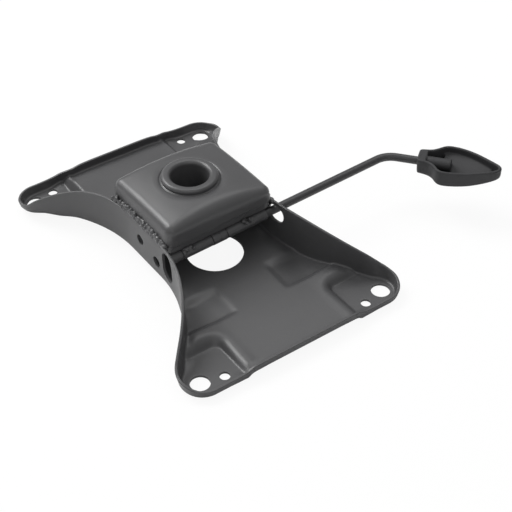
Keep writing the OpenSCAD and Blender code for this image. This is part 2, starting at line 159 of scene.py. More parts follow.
class WeldSizes(PropertyGroup):
    """Sizes of the weld beads"""

    pitch: length("Pitch", 1.7, "Distance between the lumps of a bead")
    lump: length("Lump", 1.9, "Radius of a lump")
    scatter: length("Scatter", 1.0, "How far a lump strays from the path")
    grain: length("Grain", 0.42, "Size of the grain that the lumps melt into")
    seed: IntProperty(name="Seed", description="Seed of the lumps", default=7)


class HandleSizes(PropertyGroup):
    """Sizes of the moulded handle"""

    rim: length("Rim", 5.98, "Rim above the middle of the rod")
    deep: length("Depth", 14.2, "Depth of the handle at its shoulders")
    wall: length("Wall", 2.4, "Thickness of the moulded wall")
    bend: length("Bottom edge", 2.9, "Radius round the bottom")
    belly: length("Belly", 210.0, "Radius along the bottom")
    block: length("Block", 7.0, "Length of the solid neck")
    tube: length("Tube", 9.6, "Diameter of the tube that grips the rod")
    tube_len: length("Tube end", 26.0, "Neck to the end of the tube")
    bore: length("Bore", 6.7, "Diameter of the bore for the rod")
    bore_len: length("Bore depth", 24.0, "Neck to the end of the bore")
    rib: length("Slope", 4.8, "Top of the inner slope below the rim")
    grain: length("Grain", 0.55, "Size of the grain that the parts melt into")


class FinishColours(PropertyGroup):
    """Colours of the coats and the plastic"""

    sheet: colour("Sheet coat", (0.066, 0.066, 0.068), "Powder coat on the pressed sheet")
    bar: colour("Bar coat", (0.034, 0.034, 0.036), "Powder coat on the lever's rod")
    weld: colour("Weld coat", (0.066, 0.066, 0.068), "Powder coat over weld")
    plastic: colour("Handle plastic", (0.036, 0.036, 0.038), "Moulded plastic of the handle")


class MechanismSettings(PropertyGroup):
    """All settings of the mechanism"""

    plate: group_of("Plate", PlateSizes, "Sizes of the pressed plate")
    housing: group_of("Housing", HousingSizes, "Sizes of the drawn housing")
    weld: group_of("Weld", WeldSizes, "Sizes of the weld beads")
    handle: group_of("Handle", HandleSizes, "Sizes of the moulded handle")
    finish: group_of("Finish", FinishColours, "Colours of the coats and the plastic")


class Sizes:
    """A group's lengths in millimetres, its angles in degrees and its seed as it is."""

    def __init__(self, group):
        for key, prop in group.bl_rna.properties.items():
            if prop.type == "INT":
                setattr(self, key, getattr(group, key))
            elif prop.type == "FLOAT" and not prop.is_array:
                value = getattr(group, key)
                setattr(self, key, value / MM if prop.unit == "LENGTH" else math.degrees(value))


def settings():
    """The scene's settings of the mechanism."""
    return bpy.context.scene.seat_mechanism


def smooth(t):
    """A smooth step from 0 to 1."""
    t = np.clip(t, 0.0, 1.0)
    return t * t * (3.0 - 2.0 * t)


def ease_in(value, start, run):
    """Rises from 0 at start to 1 at start + run."""
    return smooth((value - start) / run)


def ease_out(value, end, run):
    """Falls from 1 at end - run to 0 at end."""
    return smooth((end - value) / run)


def evened(values):
    """Each value of a closed row mixed with its two neighbours."""
    return (np.roll(values, 1, axis=0) + 2 * values + np.roll(values, -1, axis=0)) / 4


# Meshes

PIECE_SHARP = 36.0
SAME_POINT, SHORT_EDGE = 2e-6, 1e-6  # metres
ROW_STEP = 0.866  # rows of even triangles, as a share of the grid
EDGE_BOX = 4.0  # points farther than this from an edge are clear of it
CREASE_GAP, EDGE_GAP = 0.5, 0.45  # clear room, as a share of the grid
CREASE_PARTS = 24
HOLE_RIM, HOLE_EASE, ON_RIM = 0.4, 0.05, 0.02
FLOOR_LAP = 0.5
BEND_ROWS, EDGE_ROWS, FOOT_ROUNDS = 7, 5, 3
SAME_PLAN = 1e-7


def link_new(name, mesh):
    """A new object of a mesh, in the scene."""
    made = bpy.data.objects.new(name, mesh)
    bpy.context.scene.collection.objects.link(made)
    return made


def add_piece(name, verts, faces):
    """A mesh object from points in millimetres, with its doubles merged."""
    mesh = bpy.data.meshes.new(name)
    mesh.from_pydata([tuple(v * MM) for v in np.asarray(verts, float)], [], faces)
    bm = bmesh.new()
    bm.from_mesh(mesh)
    bmesh.ops.remove_doubles(bm, verts=bm.verts, dist=SAME_POINT)
    bmesh.ops.dissolve_degenerate(bm, edges=bm.edges, dist=SHORT_EDGE)
    bm.to_mesh(mesh)
    bm.free()
    shade(mesh, PIECE_SHARP)
    return link_new(name, mesh)


def shade(mesh, sharp):
    """Smooth faces, with the edges over the given angle left sharp."""
    bm = bmesh.new()
    bm.from_mesh(mesh)
    limit = math.radians(sharp)
    for face in bm.faces:
        face.smooth = True
    for edge in bm.edges:
        edge.smooth = len(edge.link_faces) == 2 and edge.calc_face_angle(0.0) < limit
    bm.to_mesh(mesh)
    bm.free()


def freeze(piece):
    """Turns the evaluated piece into a plain mesh and removes its modifiers."""
    graph = bpy.context.evaluated_depsgraph_get()
    graph.update()
    mesh = bpy.data.meshes.new_from_object(piece.evaluated_get(graph))
    old = piece.data
    piece.modifiers.clear()
    piece.data = mesh
    mesh.name = piece.name
    if old.users == 0:
        bpy.data.meshes.remove(old)


def melt(piece, grain, rounds):
    """Adds modifiers that melt the parts of a piece into one skin and round it off."""
    skin = piece.modifiers.new("Melt", "REMESH")
    skin.mode = "VOXEL"
    skin.voxel_size = grain * MM
    even = piece.modifiers.new("Even", "SMOOTH")
    even.factor = 0.5
    even.iterations = rounds


def cut_away(piece, cutter):
    """Cuts the cutter out of the piece and removes the cutter."""
    cut = piece.modifiers.new("Cut", "BOOLEAN")
    cut.object = cutter
    cut.operation = "DIFFERENCE"
    cut.solver = "EXACT"
    freeze(piece)
    bpy.data.objects.remove(cutter)


def inside(points, loop):
    """Which of the points lie inside a closed loop."""
    x, y = points[:, 0], points[:, 1]
    found = np.zeros(len(points), bool)
    for (x0, y0), (x1, y1) in zip(loop, np.roll(loop, -1, axis=0)):
        if y0 == y1:
            continue
        crosses = (y0 > y) != (y1 > y)
        found ^= crosses & (x < (x1 - x0) * (y - y0) / (y1 - y0) + x0)
    return found


def ring(centre, radius, count):
    """Even points round a circle."""
    turn = np.arange(count) * 2.0 * math.pi / count
    return np.stack(
        [centre[0] + radius * np.cos(turn), centre[1] + radius * np.sin(turn)], axis=1
    )


def edge_gap(points, loop):
    """How far the points are from a closed loop, where they are near it."""
    gap = np.full(len(points), np.inf)
    for start, end in zip(loop, np.roll(loop, -1, axis=0)):
        near = np.abs(points - start).max(axis=1) < EDGE_BOX
        side = end - start
        along = np.clip((points[near] - start) @ side / (side @ side), 0, 1)
        away = np.linalg.norm(points[near] - start - along[:, None] * side, axis=1)
        gap[near] = np.minimum(gap[near], away)
    return gap


def fill_floor(loop, holes, grid, creases):
    """Triangles inside a loop and outside round holes, on a grid and along the creases."""
    low, high = loop.min(0), loop.max(0)
    gx = np.arange(low[0], high[0], grid)
    gy = np.arange(low[1], high[1], grid * ROW_STEP)
    points = np.array(
        [(x + (row % 2) * grid / 2, y) for row, y in enumerate(gy) for x in gx]
    )
    if len(creases):
        clear = np.full(len(points), True)
        for part in np.array_split(np.arange(len(points)), CREASE_PARTS):
            away = np.linalg.norm(points[part][:, None] - creases[None], axis=2).min(axis=1)
            clear[part] = away > grid * CREASE_GAP
        points = np.concatenate([points[clear], creases])
    points = points[inside(points, loop)]
    gap = edge_gap(points, loop)
    for centre, radius, _ in holes:
        away = np.linalg.norm(points - np.array(centre), axis=1)
        gap = np.minimum(gap, away - radius - HOLE_RIM)
    points = points[gap > grid * EDGE_GAP]
    verts = [tuple(p) for p in loop]
    edges = [(i, (i + 1) % len(loop)) for i in range(len(loop))]
    for centre, radius, count in holes:
        for r in (radius, radius + HOLE_RIM):
            base = len(verts)
            verts += [tuple(p) for p in ring(centre, r, count)]
            edges += [(base + i, base + (i + 1) % count) for i in range(count)]
    verts += [tuple(p) for p in points]
    out, _, faces, *_ = delaunay_2d_cdt([Vector(v) for v in verts], edges, [], 0, SAME_PLAN)
    out = np.array([tuple(v) for v in out])
    faces = np.array(faces)
    middle = out[faces].mean(axis=1)
    keep = inside(middle, loop)
    for centre, radius, count in holes:
        flat = radius * math.cos(math.pi / count)
        keep &= np.linalg.norm(middle - np.array(centre), axis=1) > flat
    return out, faces[keep]


def pressed_shell(
    points, normals, bend, lean, lip, height, sheet, holes, grid, edge, rows, creases=()
):
    """A pan of sheet metal: a floor at the given height inside a loop, and a bent-up wall.

    The outer face of the floor lies at height(x, y), and the wall leans out by the angle
    lean up to the loop at the level lip. Each hole is (centre, radius, count).
    """
    verts, faces = [], []
    count = len(points)
    c, t = np.cos(lean), np.sin(lean)
    base = height(points[:, 0], points[:, 1])
    for _ in range(FOOT_ROUNDS):
        foot = bend * c + (lip - base - bend * (1 - t)) * t / c
        start = points - normals * foot[:, None]
        base = height(start[:, 0], start[:, 1])
    floor_in = foot + FLOOR_LAP
    inner = points - normals * floor_in[:, None]
    inner_z = height(inner[:, 0], inner[:, 1])
    sweep = math.pi / 2 - lean

    def row(distance, z):
        plan = points - normals * np.broadcast_to(distance, count)[:, None]
        verts.append(np.column_stack([plan, np.broadcast_to(z, count)]))

    def arc(radius, share):
        turn = sweep * share
        return foot - radius * np.sin(turn), base + bend - radius * np.cos(turn)

    def top(u, v):
        return u * c - v * t, lip + u * t + v * c

    def rise(low, high):
        for k in range(1, rows):
            row(low[0] + (high[0] - low[0]) * k / rows, low[1] + (high[1] - low[1]) * k / rows)

    row(floor_in, inner_z)
    for share in np.linspace(0.0, 1.0, BEND_ROWS):
        row(*arc(bend, share))
    rise(arc(bend, 1.0), top(0.0, -edge))
    quarter = np.linspace(0.0, math.pi / 2, EDGE_ROWS)
    for turn in quarter:
        row(*top(edge * (1 - math.cos(turn)), edge * (math.sin(turn) - 1)))
    for turn in quarter[::-1]:
        row(*top(sheet - edge * (1 - math.cos(turn)), edge * (math.sin(turn) - 1)))
    rise(top(sheet, -edge), arc(bend - sheet, 1.0))
    for share in np.linspace(1.0, 0.0, BEND_ROWS):
        row(*arc(bend - sheet, share))
    row(floor_in, inner_z + sheet)
    for i in range(len(verts) - 1):
        a, b = i * count, (i + 1) * count
        for j in range(count):
            k = (j + 1) % count
            faces.append((a + j, a + k, b + k, b + j))
    verts = np.concatenate(verts)
    plan, cells = fill_floor(inner, holes, grid, creases)
    z = height(plan[:, 0], plan[:, 1])
    ease = np.zeros(len(plan))
    for centre, radius, _ in holes:
        away = np.linalg.norm(plan - np.array(centre), axis=1)
        ease[np.abs(away - radius) < ON_RIM] = min(HOLE_EASE, sheet * HOLE_EASE)
    under = len(verts)
    over = under + len(plan)
    verts = np.concatenate(
        [verts, np.column_stack([plan, z + ease]), np.column_stack([plan, z + sheet - ease])]
    )
    for i, j, k in cells:
        faces.append((under + k, under + j, under + i))
        faces.append((over + i, over + j, over + k))
    for centre, radius, steps in holes:
        find = [
            int(np.argmin(np.linalg.norm(plan - p, axis=1))) for p in ring(centre, radius, steps)
        ]
        for a, b in zip(find, find[1:] + find[:1]):
            faces.append((under + a, under + b, over + b, over + a))
    return verts, faces


# Materials


def node(tree, kind, at, **inputs):
    """A new node at a place in a tree, with some inputs set."""
    made = tree.nodes.new(kind)
    made.location = at
    for key, value in inputs.items():
        made.inputs[key.replace("_", " ")].default_value = value
    return made


def remap(tree, at, texture, source, target):
    """Maps a texture's values from one range to another."""
    made = node(
        tree, "ShaderNodeMapRange", at, From_Min=source[0], From_Max=source[1],
        To_Min=target[0], To_Max=target[1],
    )
    tree.links.new(texture.outputs["Fac"], made.inputs["Value"])
    return made.outputs["Result"]


def joined(tree, at, operation, first, second):
    """A maths node on two values."""
    made = node(tree, "ShaderNodeMath", at)
    made.operation = operation
    tree.links.new(first, made.inputs[0])
    tree.links.new(second, made.inputs[1])
    return made.outputs["Value"]


CLOUD_RANGE, FINE_RANGE = (0.3, 0.7), (0.25, 0.75)
CLOUD_SCALE, PEEL_SHARE = 28.0, 0.28
SPECK, GLOSS_SPREAD = 0.06, 0.05
RELIEF = 0.0003  # metres


def coat(name, rgb, rough, grain, bump, patch, shine, specks):
    """A dark coat or moulding with fine grain, soft patches and a little unevenness."""
    material = bpy.data.materials.new(name)
    material.use_nodes = True
    tree = material.node_tree
    tree.nodes.clear()
    link = tree.links.new
    out = node(tree, "ShaderNodeOutputMaterial", (900, 0))
    shader = node(tree, "ShaderNodeBsdfPrincipled", (600, 0), Specular_IOR_Level=shine)
    link(shader.outputs["BSDF"], out.inputs["Surface"])
    place = node(tree, "ShaderNodeTexCoord", (-1000, 0))
    noise = "ShaderNodeTexNoise"
    cloud = node(tree, noise, (-700, 260), Scale=CLOUD_SCALE, Detail=3.0, Roughness=0.55)
    fine = node(tree, noise, (-700, -40), Scale=grain, Detail=2.0, Roughness=0.5)
    peel = node(tree, noise, (-700, -340), Scale=grain * PEEL_SHARE, Detail=1.0)
    for texture in (cloud, fine, peel):
        link(place.outputs["Object"], texture.inputs["Vector"])
    tone = remap(tree, (-450, 260), cloud, CLOUD_RANGE, (1.0 - patch, 1.0 + patch))
    dark, light = 1.0 - SPECK - specks, 1.0 + SPECK + specks
    speck = remap(tree, (-450, 0), fine, FINE_RANGE, (dark, light))
    tint = node(tree, "ShaderNodeVectorMath", (-50, 140))
    tint.operation = "SCALE"
    tint.inputs[0].default_value = rgb
    link(joined(tree, (-250, 140), "MULTIPLY", tone, speck), tint.inputs["Scale"])
    link(tint.outputs["Vector"], shader.inputs["Base Color"])
    glossy, dull = rough - GLOSS_SPREAD, rough + GLOSS_SPREAD
    gloss = remap(tree, (-250, -100), cloud, CLOUD_RANGE, (glossy, dull))
    link(gloss, shader.inputs["Roughness"])
    relief = joined(tree, (-250, -320), "ADD", fine.outputs["Fac"], peel.outputs["Fac"])
    lift = node(tree, "ShaderNodeBump", (200, -300), Strength=bump, Distance=RELIEF)
    link(relief, lift.inputs["Height"])
    link(lift.outputs["Normal"], shader.inputs["Normal"])
    return material


# Coats: material, roughness, grain, bump, patches, shine and specks
COATS = {
    "sheet": ("satin_sheet_coat", 0.38, 1500.0, 0.06, 0.05, 0.5, 0.0),
    "bar": ("satin_bar_coat", 0.38, 1700.0, 0.05, 0.06, 0.5, 0.0),
    "weld": ("rough_weld_coat", 0.34, 900.0, 0.25, 0.18, 0.5, 0.12),
    "plastic": ("grained_handle_plastic", 0.58, 2300.0, 0.16, 0.03, 0.3, 0.0),
}


def coat_of(key):
    """The coat of that name in its set colour, made when it is first asked for."""
    name, *looks = COATS[key]
    return bpy.data.materials.get(name) or coat(name, getattr(settings().finish, key), *looks)


def finish_piece(piece, material, body, slot, *nodes):
    """Paints a piece, gives it its body and hides the CAD nodes it stands for; slot is not used.
    """
    piece.data.materials.clear()
    piece.data.materials.append(material)
    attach(piece, body)
    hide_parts(*nodes)


def repaint(name, material):
    """Paints a CAD node that is shown as it is."""
    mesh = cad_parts[name].data
    mesh.materials.clear()
    mesh.materials.append(material)


FLAT_ANGLE, EASED_ANGLE, EASED_SHARP = 0.4, 30.0, 40.0  # degrees


def softened(name, width):
    """A copy of a CAD node with its doubles merged and its edges eased."""
    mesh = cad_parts[name].data.copy()
    mesh.name = name + "_eased"
    bm = bmesh.new()
    bm.from_mesh(mesh)
    bmesh.ops.remove_doubles(bm, verts=bm.verts, dist=SHORT_EDGE)
    bmesh.ops.dissolve_limit(
        bm, angle_limit=math.radians(FLAT_ANGLE), verts=bm.verts, edges=bm.edges
    )
    limit = math.radians(EASED_ANGLE)
    edges = [e for e in bm.edges if len(e.link_faces) == 2 and e.calc_face_angle(0.0) > limit]
    bmesh.ops.bevel(
        bm, geom=edges, offset=width * MM, segments=2, profile=0.5,
        affect="EDGES", clamp_overlap=True,
    )
    bm.to_mesh(mesh)
    bm.free()
    shade(mesh, EASED_SHARP)
    return link_new(name + "_eased", mesh)


# Pressed plate

STEP_RUN = 5.5
RIM_PITCH, SIDE_PITCH = 1.4, 1.5
EAR_POINTS, FLARE_POINTS = 34, 8  # FLARE_POINTS is the least number
SAME_PLACE, MIDDLE_GAP = 0.05, 0.4
FLOOR_HOLE = ((20.0, 0.0), 21.35, 120)
BOLT_AT, BOLT_R, BOLT_SIDES = (117.5, 77.5), 7.0, 56
SCREW_AT, SCREW_R, SCREW_SIDES = (121.5, 60.5), 3.75, 40
CORNERS = ((-1, -1), (-1, 1), (1, -1), (1, 1))
PLATE_GRID, PLATE_EDGE, PLATE_ROWS, PLATE_SHARP = 1.45, 0.6, 7, 62.0

# The floor's fall to the front, less of it near the walls
FALL_FROM, FALL_RUN = 30.0, 100.0
FALL_ASIDE, FALL_KEPT = (34.0, 26.0), 0.9

# The ramp between rear pads and flanks
RAMP_LEAD, RAMP_RUN, RAMP_ASIDE = 14.0, 12.0, (58.0, 10.0)

# The recesses, whose inner side is a short step and a long slope
RECESS_REAR, RECESS_FRONT = (49.0, 9.0), (82.0, 4.5)
RECESS_STEP, RECESS_SLOPE = (19.0, 6.0), (20.0, 26.0)
STEP_SHARE, SLOPE_SHARE = 0.3, 0.7

# Rows of points along the steps, from foot to floor
CREASE_ROWS = (-0.9, -0.45, 0.0, 0.45, 0.9, 1.8, 2.8, 3.8, 4.7, 5.5, 6.3, 7.1, 8.3, 9.6)
CREASE_LEN, CREASE_PITCH, BOW_PITCH = 60.0, 1.0, 0.9

# Reach of the evened level into the floor, and where the flanks are held at it
FRONT_REACH, REAR_REACH, FLANK_REACH, FLANK_SPREAD = 6.0, 10.0, 30.0, 8.0
HELD_TO = (11.0, 6.0)
NEAR_SPREAD, EASE_PART = 3.0, 1500

# Levels of the rims, and the ear rims' run-out in ear radii from the end and mm over the rim
RIM_ROUNDS, LIP_ROUNDS = 30, 3
EAR_TIP, TIP_RIM, SIDE_FROM = -3.0, 7.0, 42.5
TAIL_FROM, TAIL_AT, TAIL_OVER = -5.0, (-1.55, -1.28, -0.75), (2.6, 0.5, -0.7)

# Where the bend and the lean of the walls change along the outline
WAIST_X, WAIST_Y = (104.0, 14.0), (64.0, 14.0)
EAR_SIDE, ROLL_REAR, ROLL_FRONT = (62.0, 8.0), (126.0, 16.0), (84.0, 12.0)
EASED_SIDE = (120.0, 10.0)

# Holes in the walls: x, z, corner radius, straight width and straight height
WALL_HOLES = ((-5.0, 26.6, 4.2, 0.0, 0.0), (16.6, 20.6, 4.3, 0.0, 0.0))
LEFT_SLOT, RIGHT_SLOT = (33.3, 27.0, 7.7, 0.0, 8.8), (31.85, 31.0, 7.0, 2.3, 0.0)
CUT_SIDES, CUT_FROM, CUT_TO = 48, 40.0, 58.0


def plate_quarter(p, reach, set_in, flare, flare_r):
    """Points and outward normals of one quarter of the outline, from X towards Y."""
    half_w, waist = p.width / 2, p.waist / 2
    ear = np.array([reach - p.ear_r, half_w - p.ear_r])
    turned = math.radians(flare)
    out = np.array([-math.sin(turned), math.cos(turned)])
    knee_x = (math.cos(turned) * waist - out @ ear - p.ear_r) / math.sin(turned)
    cut = flare_r * math.tan(turned / 2)
    centre = np.array([knee_x - cut, waist + flare_r])
    points, normals = [], []
    y0, y1 = p.pad_y - 2 * STEP_RUN, p.pad_y + STEP_RUN / 2
    for y in np.arange(0.0, ear[1], RIM_PITCH):
        t = np.clip((y - y0) / (y1 - y0), 0.0, 1.0)
        slope = set_in * 6 * t * (1 - t) / (y1 - y0)
        points.append((reach - set_in * (1 - smooth(t)), y))
        normals.append(np.array([1.0, -slope]) / math.hypot(1.0, slope))
    for turn in np.linspace(0.0, math.pi / 2 + turned, EAR_POINTS):
        normals.append(np.array([math.cos(turn), math.sin(turn)]))
        points.append(ear + p.ear_r * normals[-1])
    ear_end, arc_end = ear + p.ear_r * out, centre - flare_r * out
    steps = max(2, int(np.linalg.norm(arc_end - ear_end) / SIDE_PITCH))
    for k in range(1, steps):
        points.append(ear_end + (arc_end - ear_end) * k / steps)
        normals.append(out)
    steps = max(FLARE_POINTS, int(flare_r * turned / SIDE_PITCH))
    for turn in np.linspace(turned, 0.0, steps):
        normals.append(np.array([-math.sin(turn), math.cos(turn)]))
        points.append(centre - flare_r * normals[-1])
    for x in np.arange(centre[0] - SIDE_PITCH, MIDDLE_GAP, -SIDE_PITCH):
        points.append((x, waist))
        normals.append(np.array([0.0, 1.0]))
    return np.array(points, float), np.array(normals, float)


def plate_loop(p):
    """The whole outline, counter-clockwise from the front."""
    front = plate_quarter(p, p.front_len, 0.0, p.front_flare, p.front_flare_r)
    rear = plate_quarter(p, p.rear_len, p.rear_set, p.rear_flare, p.rear_flare_r)
    points, normals = [], []
    for (pts, nrm), flip, step in (
        (front, (1, 1), 1), (rear, (-1, 1), -1), (rear, (-1, -1), 1), (front, (1, -1), -1),
    ):
        points.append((pts * flip)[::step])
        normals.append((nrm * flip)[::step])
    points, normals = np.concatenate(points), np.concatenate(normals)
    gap = np.linalg.norm(points - np.roll(points, 1, axis=0), axis=1)
    return points[gap > SAME_PLACE], normals[gap > SAME_PLACE]


def plate_height(p):
    """Level of the plate's underside over the plan, as a function of x and y."""
    pad_r, slope = p.pad_r, math.radians(p.step_slope)

    def height(x, y):
        aside = np.abs(y)
        dx = np.maximum(p.pad_x + pad_r - np.abs(x), 0.0)
        dy = np.maximum(p.pad_y + pad_r - aside, 0.0)
        roll = np.where(x > 0, p.front_roll, p.rear_roll)
        face = (p.rise - roll * (1 - math.cos(slope))) / math.tan(slope)
        run = face + roll * math.sin(slope)
        out = np.minimum(np.hypot(dx, dy) - pad_r, run)
        over = p.rise - roll + np.sqrt(np.maximum(roll ** 2 - (run - out) ** 2, 0.0))
        low = np.where(out < p.foot, np.maximum(out + p.foot, 0.0) ** 2 / (4 * p.foot), out)
        level = np.where(out < face, low * math.tan(slope), over)
        fall = np.clip((x - FALL_FROM) / FALL_RUN, 0.0, 1.0)
        fall = fall * (1.0 - FALL_KEPT * ease_in(aside, *FALL_ASIDE))
        level = level * (1.0 - p.front_fall / p.rise * fall)
        ramp = ease_in(x, -(p.pad_x + RAMP_LEAD), RAMP_RUN) * ease_in(aside, *RAMP_ASIDE)
        level = np.where(x < 0, np.maximum(level, p.flank_ramp * ramp), level)
        recess = ease_in(x, *RECESS_REAR) * ease_out(x, *RECESS_FRONT)
        deep = STEP_SHARE * ease_in(aside, *RECESS_STEP)
        deep = deep + SLOPE_SHARE * ease_in(aside, *RECESS_SLOPE)
        return level - p.recess * recess * deep

    return height


def pad_creases(p):
    """Rows of points along the steps of the four pads, from foot to floor."""
    found = []
    centre = np.array([p.pad_x + p.pad_r, p.pad_y + p.pad_r])
    far = np.arange(1.0, CREASE_LEN, CREASE_PITCH)
    for off in CREASE_ROWS:
        r = p.pad_r + off
        turn = np.linspace(math.pi, 1.5 * math.pi, max(5, int(r / BOW_PITCH)))
        rows = np.concatenate([
            centre + r * np.stack([np.cos(turn), np.sin(turn)], axis=1),
            np.stack([np.full(len(far), centre[0] - r), centre[1] + far], axis=1),
            np.stack([centre[0] + far, np.full(len(far), centre[1] - r)], axis=1),
        ])
        for sign in ((1, 1), (-1, 1), (1, -1), (-1, -1)):
            found.append(rows * np.array(sign))
    return np.concatenate(found)


def eased_edge(height, foot, spread, reach):
    """The same height with its level along the loop foot made even, near that loop.

    The level is spread along the loop by spread and carried inwards as far as reach. Where
    the reach is long, along the flanks, the floor next to the loop is held at that level.
    """
    base = height(foot[:, 0], foot[:, 1])
    gap = np.linalg.norm(np.roll(foot, -1, axis=0) - foot, axis=1)
    at, whole = np.cumsum(gap) - gap, gap.sum()
    apart = np.abs(at[:, None] - at[None])
    apart = np.minimum(apart, whole - apart) / spread[:, None]
    weight = np.exp(-0.5 * apart ** 2) * gap[None]
    even = weight @ base / weight.sum(axis=1)
    flank = np.clip((reach - REAR_REACH) / FLANK_REACH, 0.0, 1.0)

    def eased(x, y):
        plan = np.stack([np.ravel(x), np.ravel(y)], axis=1)
        raw = np.ravel(height(x, y))
        level = np.zeros(len(plan))
        for part in np.array_split(np.arange(len(plan)), max(1, len(plan) // EASE_PART)):
            away = np.linalg.norm(plan[part][:, None] - foot[None], axis=2)
            least = away.min(axis=1)
            near = np.exp((least[:, None] ** 2 - away ** 2) / (2 * NEAR_SPREAD ** 2))
            near /= near.sum(axis=1)[:, None]
            wide = near @ reach
            moved = raw[part] + (near @ (even - base)) * smooth((wide - least) / wide)
            hold = (near @ flank) * ease_out(least, *HELD_TO)
            level[part] = moved + (near @ even - moved) * hold
        return np.maximum(level.reshape(np.shape(x)), 0.0)

    return eased


def plate_lip(p, points, base):
    """Level of the top of the wall and rims at each point of the outline."""
    x, y = points[:, 0], np.abs(points[:, 1])
    rim = base + np.where(x > 0, p.front_rim, p.rear_rim)
    for _ in range(RIM_ROUNDS):
        rim = np.where((x < 0) & (y < p.width / 2 - p.ear_r), evened(rim), rim)
    along = np.abs(x)
    reach = np.where(x > 0, p.front_len, p.rear_len)
    drop = np.clip(along - p.fall_x, 0.0, p.fall_r)
    arc = p.wall_top - p.fall_r + np.sqrt(p.fall_r ** 2 - drop ** 2)
    tail_x = [EAR_TIP + TAIL_FROM * p.ear_r, *(at * p.ear_r for at in TAIL_AT), EAR_TIP, 0.0]
    tail_z = [2 * p.ear_rim, *(p.ear_rim + over for over in TAIL_OVER), TIP_RIM, TIP_RIM]
    tail = np.interp(along - reach, tail_x, tail_z)
    lip = np.where(y > SIDE_FROM, np.maximum(rim, np.maximum(arc, tail)), rim)
    for _ in range(LIP_ROUNDS):
        lip = evened(lip)
    return lip


def wall_cutters():
    """The round holes and the slots through the side walls, as one cutter."""
    bm = bmesh.new()
    step = 360 / CUT_SIDES
    for side, slot in ((-1, LEFT_SLOT), (1, RIGHT_SLOT)):
        for x, z, r, wide, tall in WALL_HOLES + (slot,):
            loop = []
            for turn in np.radians(np.arange(CUT_SIDES) * step + step / 2):
                c, t = math.cos(turn), math.sin(turn)
                u, v = r * c + math.copysign(wide / 2, c), r * t + math.copysign(tall / 2, t)
                loop.append(((x + u) * MM, (z + v) * MM))
            rows = [
                [bm.verts.new((u, side * d * MM, v)) for u, v in loop] for d in (CUT_FROM, CUT_TO)
            ]
            for a in range(CUT_SIDES):
                b = (a + 1) % CUT_SIDES
                bm.faces.new((rows[0][a], rows[0][b], rows[1][b], rows[1][a]))
            bm.faces.new(rows[0])
            bm.faces.new(rows[1][::-1])
    bmesh.ops.recalc_face_normals(bm, faces=bm.faces)
    mesh = bpy.data.meshes.new("wall_cutters")
    bm.to_mesh(mesh)
    bm.free()
    return link_new("wall_cutters", mesh)


class SEATMECH_OT_plate(Operator):
    """Makes the pressed plate with its pads, rims, walls and holes"""

    bl_idname = "seatmech.plate"
    bl_label = "Pressed Plate"

    def execute(self, context):
        p = Sizes(settings().plate)
        points, normals = plate_loop(p)
        along, aside = np.abs(points).T
        rear = points[:, 0] < 0
        waist = np.maximum(ease_out(along, *WAIST_X), ease_out(aside, *WAIST_Y))
        bend = p.ear_bend + (p.bend - p.ear_bend) * waist
        lean = np.radians(p.rim_lean + (p.lean - p.rim_lean) * waist)
        side = ease_in(aside, *EAR_SIDE) * rear
        bend += p.ear_roll * side * ease_out(along, *ROLL_REAR) * ease_in(along, *ROLL_FRONT)
        start = points - normals * bend[:, None]
        side *= ease_out(along, *EASED_SIDE)
        reach = np.where(rear, REAR_REACH, FRONT_REACH) + FLANK_REACH * side
        spread = p.edge_ease + FLANK_SPREAD * side
        height = eased_edge(plate_height(p), start, spread, reach)
        lip = plate_lip(p, points, height(start[:, 0], start[:, 1]))
        holes = [FLOOR_HOLE]
        for sx, sy in CORNERS:
            holes.append(((sx * BOLT_AT[0], sy * BOLT_AT[1]), BOLT_R, BOLT_SIDES))
            holes.append(((sx * SCREW_AT[0], sy * SCREW_AT[1]), SCREW_R, SCREW_SIDES))
        verts, faces = pressed_shell(
            points, normals, bend, lean, lip, height, p.sheet, holes,
            PLATE_GRID, PLATE_EDGE, PLATE_ROWS, pad_creases(p),
        )
        piece = add_piece("pressed_plate", verts, faces)
        cut_away(piece, wall_cutters())
        shade(piece.data, PLATE_SHARP)
        finish_piece(piece, coat_of("sheet"), "plate", "coated_sheet", "seat_plate")
        return {"FINISHED"}


# Column housing

CORNER_POINTS, HOUSING_PITCH = 18, 1.6
HOUSING_GRID, HOUSING_EDGE, HOUSING_ROWS = 1.6, 0.6, 14
CROWN_X = 4.0  # highest point of the top
DISH, GROOVE_W = (29.0, 6.3), 0.6
DISH_ROWS = (20.9, 21.4, 21.8, 22.2, 22.6, 23.1, 24.0, 25.2, 26.4, 27.5)
DISH_SIDES = 120
SOCKET_HOLE = (SOCKET_AT, 17.25, 96)
LEAN_LESS_FRONT, LEAN_LESS_REAR = 0.6, 0.4
BEND_POWER, SKIRT_GAIN = 8, 4  # how quickly the front and rear edges turn into the sides
JOGGLE_TOP, JOGGLE_RUN, JOGGLE_FROM = 6.6, 1.4, (24.0, 2.0)


def rounded_box(x0, x1, half_w, radius):
    """Points and normals of a rectangle with round corners, counter-clockwise."""
    points, normals = [], []
    for cx, cy, first in (
        (x1 - radius, half_w - radius, 0), (x0 + radius, half_w - radius, 90),
        (x0 + radius, radius - half_w, 180), (x1 - radius, radius - half_w, 270),
    ):
        corner = []
        for turn in np.radians(np.linspace(first, first + 90, CORNER_POINTS)):
            n = np.array([math.cos(turn), math.sin(turn)])
            corner.append((np.array([cx, cy]) + radius * n, n))
        if points:
            span(points, normals, corner[0])
        for q, n in corner:
            points.append(q)
            normals.append(n)
    span(points, normals, (points[0], normals[0]))
    return np.array(points), np.array(normals)


def span(points, normals, to):
    """Adds even steps along a straight side."""
    start = points[-1]
    steps = max(2, int(np.linalg.norm(to[0] - start) / HOUSING_PITCH))
    for k in range(1, steps):
        points.append(start + (to[0] - start) * k / steps)
        normals.append(to[1])


